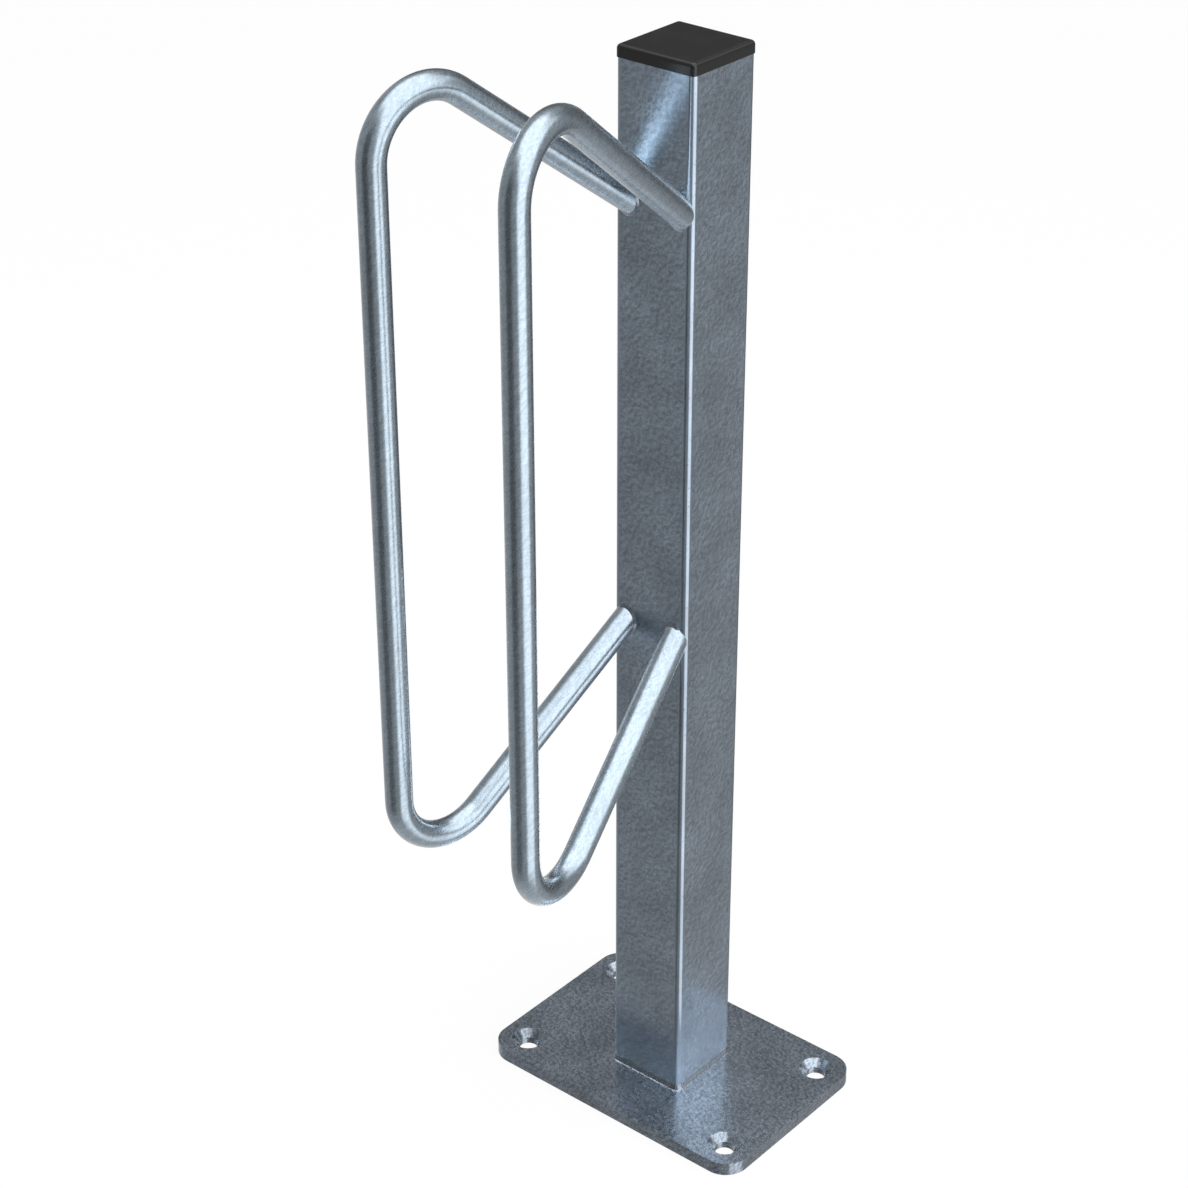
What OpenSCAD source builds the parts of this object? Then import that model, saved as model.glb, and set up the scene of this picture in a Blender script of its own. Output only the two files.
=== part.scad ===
// Single bike stand: a galvanised square post on an anchored base plate,
// with two splayed wheel hoops of bent round tube and a plastic cap.
// Ground is Z = 0, the post's axis is the Z axis, the hoops reach towards -Y.

/* [Base plate] */
// Length of the plate along X
plate_x = 225; // [180:1:300]
// Depth of the plate along Y
plate_y = 150; // [130:1:240]
// Thickness of the plate
plate_t = 10; // [8:0.5:15]
// Radius of the plate's corners
plate_corner_r = 18; // [5:0.5:30]
// Diameter of the drain hole inside the foot of the post
drain_d = 30; // [16:1:40]

/* [Anchor holes] */
// Diameter of each hole through the plate
anchor_hole_d = 14; // [10:0.5:18]
// Diameter of each countersink at the plate's top face
anchor_sink_d = 24; // [20:0.5:28]
// Distance from each hole's centre to the two nearest edges
anchor_inset = 21; // [16:0.5:28]

/* [Post] */
// Outside width of the square tube
post_w = 60; // [50:1:80]
// Wall of the square tube
post_wall = 3; // [2:0.5:5]
// Outer radius of the tube's corners
post_corner_r = 4; // [3:0.5:8]
// Inner radius of the tube's corners
post_inner_r = 1; // [0.5:0.5:4]
// Height of the tube's top end above the ground
post_top_z = 763; // [720:1:900]

/* [Hoops] */
// Outside diameter of the hoop tube
hoop_d = 18; // [16:0.5:22]
// Wall of the hoop tube
hoop_wall = 2; // [1:0.5:4]
// Distance from the post's top end down to where an upper arm's axis meets the front face
hoop_drop = 86; // [30:1:160]
// Height from a lower arm's axis up to the upper arm's axis, on the post's front face
hoop_gap = 297; // [200:1:360]
// Distance from the post's front face to the axis of a hoop's leg
hoop_reach = 185; // [150:1:240]
// Angle by which each hoop splays sideways from straight ahead
hoop_splay = 10; // [4:0.5:16]
// Angle by which the upper arm rises and the lower arm falls
hoop_arm_angle = 37; // [20:0.5:50]
// Radius of the bends, to the tube's axis
hoop_bend_r = 39; // [30:0.5:60]
// Diameter of the vent hole from each hoop end into the post
vent_d = 8; // [4:0.5:10]

/* [Cap] */
// Distance by which the cap's head stands out past the post's faces
cap_overhang = 0.25; // [0:0.05:2]
// Height of the cap's head
cap_head_t = 8; // [6:0.5:14]
// Radius of the head's upright corners
cap_corner_r = 3; // [3:0.5:6]
// Radius of the head's top edges
cap_edge_r = 3; // [1:0.5:3]
// Depth of the insert inside the tube
cap_insert_depth = 22; // [16:1:40]
// Wall of the insert
cap_insert_wall = 2; // [1:0.5:4]
// Number of gripping ribs round the insert
cap_rib_count = 4; // [2:1:5]
// Thickness of each rib
cap_rib_t = 1.2; // [0.8:0.1:2]
// Distance by which a rib stands out of the insert's wall
cap_rib_out = 1.5; // [0.8:0.1:3]
// Clearance between the ribs and the tube's wall
cap_clearance = 0.1; // [0.05:0.05:0.5]

/* [Welds] */
// Leg of the fillet weld round the foot of the post
foot_weld_leg = 3; // [1.5:0.5:6]
// Leg of the fillet weld round each hoop end
hoop_weld_leg = 1.5; // [1:0.25:3]
// How far a weld's face crowns, as a share of its leg, where 0.5 is a flat face
weld_crown_share = 0.6; // [0.5:0.05:0.7]

/* [Hidden] */
$fn = 96;

// Overrun of every cut past the faces that it goes through, and lap of the halves of a hoop
overrun = 1;
// Number of straight steps in each hoop weld
weld_steps = 32;
// Colours as they look in the photo
zinc_plate = "#6b727b";
zinc_post = "#727982";
zinc_hoop = "#8793a3";
zinc_weld = "#7a828c";
cap_black = "#262728";

LEFT = -1;
RIGHT = 1;
UPPER = 1;
LOWER = -1;

anchor_x = plate_x / 2 - anchor_inset;
anchor_y = plate_y / 2 - anchor_inset;
// A 90 degree countersink is as deep as it widens on each side
anchor_sink_depth = (anchor_sink_d - anchor_hole_d) / 2;

post_face_y = -post_w / 2;
post_bore_w = post_w - 2 * post_wall;

hoop_bore_d = hoop_d - 2 * hoop_wall;
// The hoops' outer sides are flush with the post's sides where they meet its face
hoop_x = (post_w - hoop_d) / 2;
hoop_upper_z = post_top_z - hoop_drop;
hoop_lower_z = hoop_upper_z - hoop_gap;
// Each hoop is drawn in its own upright plane, about the height halfway between its ends
hoop_half_gap = hoop_gap / 2;
hoop_mid_z = hoop_upper_z - hoop_half_gap;
hoop_run = hoop_reach / cos(hoop_splay);
hoop_turn = 90 + hoop_arm_angle;
// From the sharp corner where arm and leg would meet to the start of the bend
hoop_tangent = hoop_bend_r * tan(hoop_turn / 2);
hoop_arm_length = hoop_run / cos(hoop_arm_angle) - hoop_tangent;
hoop_corner_z = hoop_half_gap + hoop_run * tan(hoop_arm_angle);
hoop_leg_end_z = hoop_corner_z - hoop_tangent;
// Each arm runs on into the post, to be cut to the shape of its face
hoop_run_in = post_w / 2;

// A hoop weld ends on each side where the post's corner starts to turn away
post_flat_half = post_w / 2 - post_corner_r;
hoop_weld_edge_r = hoop_d / 2 + hoop_weld_leg;
hoop_weld_span = acos((hoop_x - post_flat_half) * cos(hoop_splay) / hoop_weld_edge_r);
hoop_weld_step = 2 * hoop_weld_span / weld_steps;
// The straight steps touch the round tube halfway along
hoop_weld_root_r = hoop_d / 2 / cos(hoop_weld_step / 2);

cap_w = post_w + 2 * cap_overhang;
cap_rib_w = post_bore_w - 2 * cap_clearance;
cap_rib_r = max(post_inner_r - cap_clearance, cap_clearance);
cap_insert_w = cap_rib_w - 2 * cap_rib_out;
cap_rib_pitch = (cap_insert_depth - cap_rib_t) / cap_rib_count;

// Rectangle with round corners, centred on the origin
module rounded_rect(x, y, r) {
    square([x - 2 * r, y], center = true);
    square([x, y - 2 * r], center = true);
    for (sx = [LEFT, RIGHT], sy = [LOWER, UPPER])
        translate([sx * (x / 2 - r), sy * (y / 2 - r)])
            circle(r = r);
}

// Places its children at the four anchor holes
module at_anchors() {
    for (sx = [LEFT, RIGHT], sy = [LOWER, UPPER])
        translate([sx * anchor_x, sy * anchor_y, 0])
            children();
}

// Hole for a countersunk bolt, its mouth at the plate's top face
module anchor_cut() {
    translate([0, 0, -overrun])
        cylinder(d = anchor_hole_d, h = plate_t + 2 * overrun);
    translate([0, 0, plate_t - anchor_sink_depth])
        cylinder(
            d1 = anchor_hole_d,
            d2 = anchor_sink_d + 2 * overrun,
            h = anchor_sink_depth + overrun
        );
}

module base_plate() {
    color(zinc_plate)
        difference() {
            linear_extrude(height = plate_t)
                rounded_rect(plate_x, plate_y, plate_corner_r);
            at_anchors()
                anchor_cut();
            translate([0, 0, -overrun])
                cylinder(d = drain_d, h = plate_t + 2 * overrun);
        }
}

// The space that the post takes up, with its bore filled
module post_envelope() {
    translate([0, 0, plate_t])
        linear_extrude(height = post_top_z - plate_t)
            rounded_rect(post_w, post_w, post_corner_r);
}

module post() {
    color(zinc_post)
        difference() {
            post_envelope();
            translate([0, 0, plate_t - overrun])
                linear_extrude(height = post_top_z - plate_t + 2 * overrun)
                    rounded_rect(post_bore_w, post_bore_w, post_inner_r);
            for (side = [LEFT, RIGHT], z = [hoop_lower_z, hoop_upper_z])
                translate([side * hoop_x, post_face_y - overrun, z])
                    rotate([-90, 0, 0])
                        cylinder(d = vent_d, h = post_wall + 2 * overrun);
        }
}

// Turns its children over to the left side of the stand, or leaves them on the right
module at_side(side) {
    if (side == RIGHT)
        children();
    else
        mirror([1, 0, 0])
            children();
}

// Turns its children over to the lower end of a hoop, or leaves them at the upper end
module at_end(end) {
    if (end == UPPER)
        children();
    else
        mirror([0, 0, 1])
            children();
}

// Stands a hoop's drawing plane in its place: +X of the drawing runs out from the post's face
module in_hoop_plane(side) {
    at_side(side)
        translate([hoop_x, post_face_y, hoop_mid_z])
            rotate([0, 0, hoop_splay - 90])
                children();
}

// Turns its children about a bend's centre, from the middle of the bend to where the leg meets it
module at_leg_end_of_bend() {
    rotate([0, hoop_turn / 2, 0])
        children();
}

// Turns its children about a bend's centre, from the middle of the bend to where the arm meets it
module at_arm_end_of_bend() {
    rotate([0, -hoop_turn / 2, 0])
        children();
}

// Bend as a solid rod of diameter d: half a ring, kept on the leg's side of the arm's first section
module hoop_bend(d) {
    ring_reach = hoop_bend_r + d;
    intersection() {
        at_leg_end_of_bend()
            rotate([90, 0, 0])
                rotate_extrude(angle = 180)
                    translate([hoop_bend_r, 0])
                        circle(d = d);
        at_arm_end_of_bend()
            translate([-ring_reach, -ring_reach, -ring_reach])
                cube([2 * ring_reach, 2 * ring_reach, ring_reach]);
    }
}

// Upper half of a hoop as a solid rod of diameter d: leg, bend and arm, drawn from the middle
// of the bend so that all three share their tangent circles
module hoop_half(d, run_in) {
    translate([hoop_run - hoop_bend_r, 0, hoop_leg_end_z])
        rotate([0, -hoop_turn / 2, 0]) {
            at_leg_end_of_bend()
                translate([hoop_bend_r, 0, -hoop_leg_end_z - overrun])
                    cylinder(d = d, h = hoop_leg_end_z + overrun);
            hoop_bend(d);
            at_arm_end_of_bend()
                translate([hoop_bend_r, 0, 0])
                    cylinder(d = d, h = hoop_arm_length + run_in);
        }
}

// Whole hoop as a solid rod of diameter d, its two halves lapped at the middle of the leg
module hoop_rod(d, run_in) {
    for (end = [LOWER, UPPER])
        at_end(end)
            hoop_half(d, run_in);
}

// Bent tube, its two ends cut to lie on the post's face and round its corner
module hoop(side) {
    color(zinc_hoop)
        difference() {
            in_hoop_plane(side)
                hoop_rod(hoop_d, hoop_run_in);
            in_hoop_plane(side)
                hoop_rod(hoop_bore_d, hoop_run_in + overrun);
            post_envelope();
        }
}

module left_hoop() {
    hoop(LEFT);
}

module right_hoop() {
    hoop(RIGHT);
}

// Outline of a fillet weld from its root at the origin, with a crowned face
function weld_section(leg) = [
    [0, 0],
    [leg, 0],
    [leg * weld_crown_share, leg * weld_crown_share],
    [0, leg]
];

// Point in the hoop's drawing plane frame, beside an upper arm: at an angle round the arm
// from its inner side, at a radius from its axis and at a height off the post's face
function beside_arm(angle, radius, off_face) =
    let (
        along = [cos(hoop_arm_angle), 0, sin(hoop_arm_angle)],
        above = [-sin(hoop_arm_angle), 0, cos(hoop_arm_angle)],
        inward = [0, -1, 0],
        face_normal = [cos(hoop_splay), -sin(hoop_splay), 0],
        spoke = cos(angle) * inward + sin(angle) * above,
        travel = (off_face - radius * (spoke * face_normal)) / (along * face_normal)
    )
    [0, 0, hoop_half_gap] + travel * along + radius * spoke;

// Fillet weld along the curve where a hoop end meets the flat of the post's face
module hoop_weld(side, end) {
    section = weld_section(hoop_weld_leg);
    count = len(section);
    points = [
        for (step = [0:weld_steps], corner = section)
            beside_arm(
                -hoop_weld_span + step * hoop_weld_step,
                hoop_weld_root_r + corner[0],
                corner[1]
            )
    ];
    last = count * weld_steps;
    faces = [
        for (step = [0:weld_steps - 1], i = [0:count - 1], half = [0, 1])
            let (
                a = step * count + i,
                b = step * count + (i + 1) % count
            )
            half == 0 ? [a, b, b + count] : [a, b + count, a + count],
        for (i = [1:count - 2])
            [0, i + 1, i],
        for (i = [1:count - 2])
            [last, last + i, last + i + 1]
    ];
    color(zinc_weld)
        in_hoop_plane(side)
            at_end(end)
                polyhedron(points = points, faces = faces);
}

module left_upper_weld() {
    hoop_weld(LEFT, UPPER);
}

module left_lower_weld() {
    hoop_weld(LEFT, LOWER);
}

module right_upper_weld() {
    hoop_weld(RIGHT, UPPER);
}

module right_lower_weld() {
    hoop_weld(RIGHT, LOWER);
}

// Fillet weld all round the foot of the post
module foot_weld() {
    straight = 2 * post_flat_half;
    color(zinc_weld)
        translate([0, 0, plate_t])
            for (quarter = [0:3])
                rotate([0, 0, quarter * 90]) {
                    translate([post_w / 2, post_flat_half, 0])
                        rotate([90, 0, 0])
                            linear_extrude(height = straight)
                                polygon(weld_section(foot_weld_leg));
                    translate([post_flat_half, post_flat_half, 0])
                        rotate_extrude(angle = 90)
                            translate([post_corner_r, 0])
                                polygon(weld_section(foot_weld_leg));
                }
}

// Upright section through the edge of the cap's head, from x = 0 out to the edge
module cap_edge_section(x) {
    difference() {
        square([x, cap_head_t]);
        translate([x - cap_edge_r, cap_head_t - cap_edge_r])
            difference() {
                square(cap_edge_r + overrun);
                circle(r = cap_edge_r);
            }
    }
}

// Head with round corners and a round top edge
module cap_head() {
    straight = cap_w - 2 * cap_corner_r;
    for (quarter = [0:3])
        rotate([0, 0, quarter * 90]) {
            translate([straight / 2, straight / 2, 0])
                rotate_extrude(angle = 90)
                    cap_edge_section(cap_corner_r);
            translate([straight / 2, straight / 2, 0])
                rotate([90, 0, 0])
                    linear_extrude(height = straight)
                        cap_edge_section(cap_corner_r);
        }
    translate([-straight / 2, -straight / 2, 0])
        cube([straight, straight, cap_head_t]);
}

// Hollow insert below the head, with ribs that grip the tube
module cap_insert() {
    difference() {
        union() {
            translate([0, 0, -cap_insert_depth])
                linear_extrude(height = cap_insert_depth)
                    rounded_rect(cap_insert_w, cap_insert_w, cap_rib_r);
            for (rib = [0:cap_rib_count - 1])
                translate([0, 0, -cap_insert_depth + rib * cap_rib_pitch])
                    linear_extrude(height = cap_rib_t)
                        rounded_rect(cap_rib_w, cap_rib_w, cap_rib_r);
        }
        translate([0, 0, -cap_insert_depth - overrun])
            linear_extrude(height = cap_insert_depth + overrun)
                square(cap_insert_w - 2 * cap_insert_wall, center = true);
    }
}

module post_cap() {
    color(cap_black)
        translate([0, 0, post_top_z]) {
            cap_head();
            cap_insert();
        }
}

base_plate();
post();
post_cap();
left_hoop();
right_hoop();
foot_weld();
left_upper_weld();
left_lower_weld();
right_upper_weld();
right_lower_weld();
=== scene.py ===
"""Single bike stand: its galvanised pieces, its plastic cap and the studio that they stand in."""

import math

import bmesh
import bpy
from mathutils import Matrix, Vector


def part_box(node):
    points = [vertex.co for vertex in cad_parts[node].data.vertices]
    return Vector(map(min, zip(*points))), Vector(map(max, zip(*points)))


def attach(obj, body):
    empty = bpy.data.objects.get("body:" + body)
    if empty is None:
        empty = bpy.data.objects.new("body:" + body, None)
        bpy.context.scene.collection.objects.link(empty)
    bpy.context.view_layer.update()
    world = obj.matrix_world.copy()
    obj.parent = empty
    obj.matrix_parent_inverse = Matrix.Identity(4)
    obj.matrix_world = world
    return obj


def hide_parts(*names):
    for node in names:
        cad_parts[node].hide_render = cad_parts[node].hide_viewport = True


bl_info = {
    "name": "Single bike stand",
    "version": (1, 0, 0),
    "blender": (4, 5, 0),
    "location": "3D View > Sidebar > Bike stand",
    "description": "Models a galvanised bike stand with two wheel hoops, and a studio to show it in",
    "category": "Object",
}

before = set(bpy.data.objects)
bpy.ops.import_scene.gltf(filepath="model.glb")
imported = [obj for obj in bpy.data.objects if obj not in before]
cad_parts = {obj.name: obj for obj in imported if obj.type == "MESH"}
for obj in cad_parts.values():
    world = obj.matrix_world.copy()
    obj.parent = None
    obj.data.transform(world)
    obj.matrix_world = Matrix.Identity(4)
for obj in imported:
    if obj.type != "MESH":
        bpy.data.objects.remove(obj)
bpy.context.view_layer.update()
BODY = "root"
MM = 0.001
UP = Vector((0, 0, 1))
# Two points this near each other touch, and two directions this much alike are parallel
TOUCH = 0.1 * MM
PARALLEL = 0.99

PLATE_LOW, PLATE_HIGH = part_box("base_plate")
POST_LOW, POST_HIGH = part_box("post")
CAP_LOW, CAP_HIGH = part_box("post_cap")


def linear(hex_colour):
    """An sRGB hex colour, such as "#6B727B", as linear red, green and blue."""
    channels = [int(hex_colour[i : i + 2], 16) / 255 for i in (1, 3, 5)]
    return tuple(c / 12.92 if c <= 0.04045 else ((c + 0.055) / 1.055) ** 2.4 for c in channels)


def length(name, description, millimetres):
    """A property that holds a length, given here in millimetres."""
    return bpy.props.FloatProperty(
        name=name, description=description, default=millimetres * MM, min=0, unit="LENGTH", precision=5
    )


def angle(name, description, degrees):
    """A property that holds an angle, given here in degrees."""
    return bpy.props.FloatProperty(
        name=name, description=description, default=math.radians(degrees), subtype="ANGLE"
    )


def colour(name, description, hex_colour):
    """A property that holds a colour, given here as an sRGB hex value."""
    return bpy.props.FloatVectorProperty(
        name=name, description=description, default=linear(hex_colour), size=3, min=0, max=1, subtype="COLOR"
    )


def position(name, description, millimetres):
    """A property that holds a position, given here in millimetres."""
    return bpy.props.FloatVectorProperty(
        name=name, description=description, default=[value * MM for value in millimetres], size=3,
        unit="LENGTH", subtype="TRANSLATION",
    )


def number(name, description, value, high=1.0):
    """A property that holds a plain number with no unit."""
    return bpy.props.FloatProperty(name=name, description=description, default=value, min=0, max=high)


class BikeStandSizes(bpy.types.PropertyGroup):
    """Sizes of the pieces. Outer sizes that aren't here come from the frame"""

    plate_corner_radius: length("Plate corner radius", "Radius of the base plate's four corners", 18)
    anchor_hole: length("Anchor hole", "Diameter of each hole through the plate", 14)
    anchor_sink: length("Anchor countersink", "Diameter of each countersink at the plate's top", 24)
    anchor_inset: length("Anchor inset", "From a hole's centre to the two nearest edges", 21)
    drain_hole: length("Drain hole", "Diameter of the hole that drains the zinc bath from the post", 30)
    zinc_edge: length("Zinc edge", "Radius that the zinc coat gives to a cut edge", 0.6)
    post_wall: length("Post wall", "Wall of the square tube", 3)
    post_corner_radius: length("Post corner radius", "Outer radius of the square tube's corners", 4)
    vent_hole: length("Vent hole", "Diameter of the hole from each hoop end into the post", 8)
    tube: length("Hoop tube", "Outside diameter of the hoops' tube", 18)
    tube_wall: length("Hoop tube wall", "Wall of the hoops' tube", 2)
    hoop_reach: length("Hoop reach", "From the post's front face to the axis of a hoop's leg", 185)
    hoop_drop: length("Hoop drop", "From the post's top down to an upper arm's axis on the front face", 86)
    hoop_gap: length("Hoop gap", "Between a hoop's two ends on the front face", 297)
    hoop_splay: angle("Hoop splay", "Angle of each hoop from straight ahead", 10)
    arm_slope: angle("Arm slope", "Angle by which the upper arm rises and the lower arm falls", 37)
    bend_radius: length("Bend radius", "Radius of the hoops' bends, to the tube's axis", 39)
    hoop_weld: length("Hoop weld", "Leg of the fillet weld round a hoop's end", 1.5)
    foot_weld: length("Foot weld", "Leg of the fillet weld round the post's foot", 3)
    weld_ripple: length("Weld ripple", "Distance between two ripples of a weld bead", 1.6)
    cap_corner_radius: length("Cap corner radius", "Radius of the cap's upright corners", 3)
    cap_edge_radius: length("Cap edge radius", "Radius of the cap's top edges", 3)
    cap_insert_depth: length("Cap insert depth", "Depth of the cap's insert inside the post", 22)
    cap_wall: length("Cap wall", "Wall of the cap's insert", 2)
    cap_rib: length("Cap rib", "Thickness of each gripping rib", 1.2)
    cap_rib_out: length("Cap rib reach", "Distance by which a rib stands out of the insert's wall", 1.5)
    cap_clearance: length("Cap clearance", "Between a rib and the post's inner wall", 0.1)
    cap_ribs: bpy.props.IntProperty(name="Cap ribs", description="Number of gripping ribs", default=4, min=1)


class BikeStandFinish(bpy.types.PropertyGroup):
    """Colours and gloss of the finishes"""

    post_zinc: colour("Post zinc", "Zinc coat of the square tube", "#616A73")
    plate_zinc: colour("Plate zinc", "Zinc coat of the base plate", "#596068")
    tube_zinc: colour("Tube zinc", "Zinc coat of the hoops", "#6B757D")
    # Painted shade: the weld beads get a darker copy of the zinc coat, so that the extra light they catch
    # doesn't show as bright rings
    weld_zinc: colour("Weld zinc", "Zinc coat over the weld beads", "#50565D")
    cap_black: colour("Cap black", "Moulded polyethylene of the cap", "#1A1A1A")
    cap_roughness: number("Cap roughness", "Roughness of the moulded cap", 0.2)
    cap_sheen: number("Cap sheen", "Strength of the cap's reflections, where 0.5 is common plastic", 0.15)


class BikeStandStage(bpy.types.PropertyGroup):
    """Camera, floor and light"""

    camera_azimuth: angle("Camera azimuth", "Angle of the camera round the stand, from straight ahead", 40)
    camera_elevation: angle("Camera elevation", "Angle of the camera above the horizon", 30)
    camera_place: position("Camera place", "Where the camera stands", (999.3, -1265.93, 1294.25))
    lens: number("Lens", "Focal length in millimetres", 84.43, 500)
    floor_white: colour("Floor white", "Colour of the floor", "#F4F4F4")
    softbox_level: number("Softbox level", "Brightness of the upright softbox, where 1 is white", 6.0, 50)
    ceiling_level: number("Ceiling level", "Brightness of the ceiling, where 1 is white", 6.2, 50)
    panel_level: number("Panel level", "Brightness of the panel at the back right, where 1 is white", 4.2, 50)
    mirrored_gain: number("Mirrored gain", "Gain of the studio's brightness in mirrored metal", 3.5, 10)
    mirrored_ceiling_level: number(
        "Mirrored ceiling level", "Brightness of the ceiling in mirrored metal, where 1 is white", 45, 100
    )
    flag_level: number("Flag level", "Brightness of the dark flags, where 1 is white", 0.2)
    card_level: number("Card level", "Brightness of the dark card behind the stand, where 1 is white", 0.17)
    matt_share: number("Matt share", "Share of the studio's brightness that matt surfaces get", 0.22)
    lamp_power: number("Lamp power", "Power of the soft lamp overhead, in watts", 17, 1000)
    lamp_width: length("Lamp width", "Diameter of the soft lamp overhead", 1600)
    lamp_place: position("Lamp place", "Where the soft lamp hangs, aimed at the foot", (250, -350, 2400))


def sizes():
    return bpy.context.scene.bike_stand_sizes


def finish():
    return bpy.context.scene.bike_stand_finish


def stage():
    return bpy.context.scene.bike_stand_stage


# Modelling helpers

CORNER_STEPS = 8
PLATE_CORNER_STEPS = 16
HIDDEN_CORNER_STEPS = 2
HOLE_SIDES = 64
VENT_SIDES = 32
TUBE_SIDES = 48
BEND_STEPS = 40
# Share of its edge radius that the cap's bevel takes, so that it doesn't fold over at the round corners
CAP_BEVEL_SHARE = 0.98


def deselect_all():
    if bpy.context.object and bpy.context.object.mode != "OBJECT":
        bpy.ops.object.mode_set(mode="OBJECT")
    bpy.ops.object.select_all(action="DESELECT")


def settle(piece, name):
    """Names the piece and moves its place into its mesh, so that its object sits at the origin."""
    piece.name = name
    piece.data.name = name
    deselect_all()
    piece.select_set(True)
    bpy.context.view_layer.objects.active = piece
    bpy.ops.object.transform_apply(location=True, rotation=True, scale=True)
    return piece


def edit(piece, part):
    """Opens the piece in edit mode with nothing selected, ready to select faces, edges or points."""
    deselect_all()
    piece.select_set(True)
    bpy.context.view_layer.objects.active = piece
    bpy.ops.object.mode_set(mode="EDIT")
    bpy.ops.mesh.select_mode(type=part)
    bpy.ops.mesh.select_all(action="DESELECT")


def choose(piece, part, wanted):
    """Selects the faces, edges or points of the piece in edit mode that wanted() says yes to."""
    mesh = bmesh.from_edit_mesh(piece.data)
    for element in {"VERT": mesh.verts, "EDGE": mesh.edges, "FACE": mesh.faces}[part]:
        if wanted(element):
            element.select_set(True)
    bmesh.update_edit_mesh(piece.data)


def upright(edge):
    along = edge.verts[0].co - edge.verts[1].co
    return abs(along.normalized().dot(UP)) > PARALLEL


def outwards(piece):
    """Turns every face of the piece outwards."""
    edit(piece, "FACE")
    bpy.ops.mesh.select_all(action="SELECT")
    bpy.ops.mesh.remove_doubles(threshold=TOUCH / 100)
    bpy.ops.mesh.normals_make_consistent(inside=False)
    bpy.ops.object.mode_set(mode="OBJECT")


def modify(piece, kind, **settings):
    """Adds a modifier to the piece and applies it."""
    deselect_all()
    piece.select_set(True)
    bpy.context.view_layer.objects.active = piece
    modifier = piece.modifiers.new(kind.title(), kind)
    for name, value in settings.items():
        setattr(modifier, name, value)
    bpy.ops.object.modifier_apply(modifier=modifier.name)


def cut(piece, tool, operation="DIFFERENCE"):
    """Cuts the tool's shape out of the piece, or joins it on, and deletes the tool."""
    modify(piece, "BOOLEAN", object=tool, operation=operation, solver="EXACT")
    bpy.data.objects.remove(tool)


def round_edges(piece, radius, steps, sharp_from):
    """Rounds the edges of the piece that turn by more than that many degrees, as the zinc coat does."""
    modify(
        piece, "BEVEL", width=radius, segments=steps, limit_method="ANGLE",
        angle_limit=math.radians(sharp_from), harden_normals=False,
    )


def smooth(piece, sharp_from=35):
    """Shades the piece smooth but for edges that turn by more than that many degrees, with flats that
    stay flat up to their round edges."""
    deselect_all()
    piece.select_set(True)
    bpy.context.view_layer.objects.active = piece
    bpy.ops.object.shade_smooth_by_angle(angle=math.radians(sharp_from))
    modify(piece, "WEIGHTED_NORMAL", mode="FACE_AREA", weight=100, keep_sharp=True)


def rounded_bar(name, low, high, radius, steps=CORNER_STEPS):
    """Upright bar between two corners of its box, with round upright edges."""
    deselect_all()
    bpy.ops.mesh.primitive_cube_add(size=1, location=(low + high) / 2, scale=high - low)
    bar = settle(bpy.context.object, name)
    edit(bar, "EDGE")
    choose(bar, "EDGE", upright)
    bpy.ops.mesh.bevel(offset=radius, segments=steps, profile=0.5, affect="EDGES")
    bpy.ops.object.mode_set(mode="OBJECT")
    return bar


def round_tool(diameter, low, high, centre, top_diameter=None):
    """Cutter for a round hole, upright, wider at its top end if a top diameter is given."""
    deselect_all()
    bpy.ops.mesh.primitive_cone_add(
        vertices=HOLE_SIDES, radius1=diameter / 2, radius2=(top_diameter or diameter) / 2,
        depth=high - low, location=(*centre, (low + high) / 2),
    )
    return settle(bpy.context.object, "hole")


def copy_of(piece, name):
    twin = piece.copy()
    twin.data = piece.data.copy()
    twin.name = name
    twin.data.name = name
    bpy.context.scene.collection.objects.link(twin)
    return twin


def hand_over(piece, node, material):
    """Gives the piece its finish, and lets it stand for its node of the frame."""
    piece.data.materials.clear()
    piece.data.materials.append(material)
    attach(piece, BODY)
    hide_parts(node)


# Finishes

# Most of a noise pattern lies between these two values
NOISE_LOW, NOISE_HIGH = 0.3, 0.7
# The dull salts on a zinc coat scatter the rest of the light
METAL_SHARE = 0.8
# Clouds in the coat, dark specks of dross and faint streaks from handling
CLOUD_MM = 38
SPECK_MM = 1.9
STREAK_MM = 2.4
STREAK_TURN = (0.5, 0.6, 0.4)
STREAK_STRETCH = (1.0, 1.0, 0.12)
# Painted light and shade of the crystals: the step from the side of a crystal that is painted lit to the side
# that is painted shaded
PAINTED_SHADE_STEP_MM = (0.4, 0.4, -0.5)
# The strip over which a square tube's coat turns from smooth to grained, and how far the strip reaches
# past the flat on to the round corner
GRAIN_FADE_MM = 2
CORNER_LAP_MM = 0.5
# The cap's grain, its relief, and the scuffs that change its gloss
CAP_GRAIN_MM = 0.8
CAP_RELIEF_MM = 0.004
CAP_SCUFF_MM = 14
CAP_SCUFF_DEPTH = 0.04


def add_node(tree, kind, inputs=None, **settings):
    """Adds a node to the tree, with its settings. An input is given a value, a socket that is linked to
    it, or a node, whose first output in use is linked to it."""
    node = tree.nodes.new(kind)
    for name, value in settings.items():
        setattr(node, name, value)
    for socket, value in (inputs or {}).items():
        if isinstance(value, bpy.types.Node):
            value = next(output for output in value.outputs if output.enabled)
        if isinstance(value, bpy.types.NodeSocket):
            tree.links.new(value, node.inputs[socket])
        else:
            node.inputs[socket].default_value = value
    return node


def new_material(name):
    material = bpy.data.materials.new(name)
    material.use_nodes = True
    material.node_tree.nodes.clear()
    return material


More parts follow.
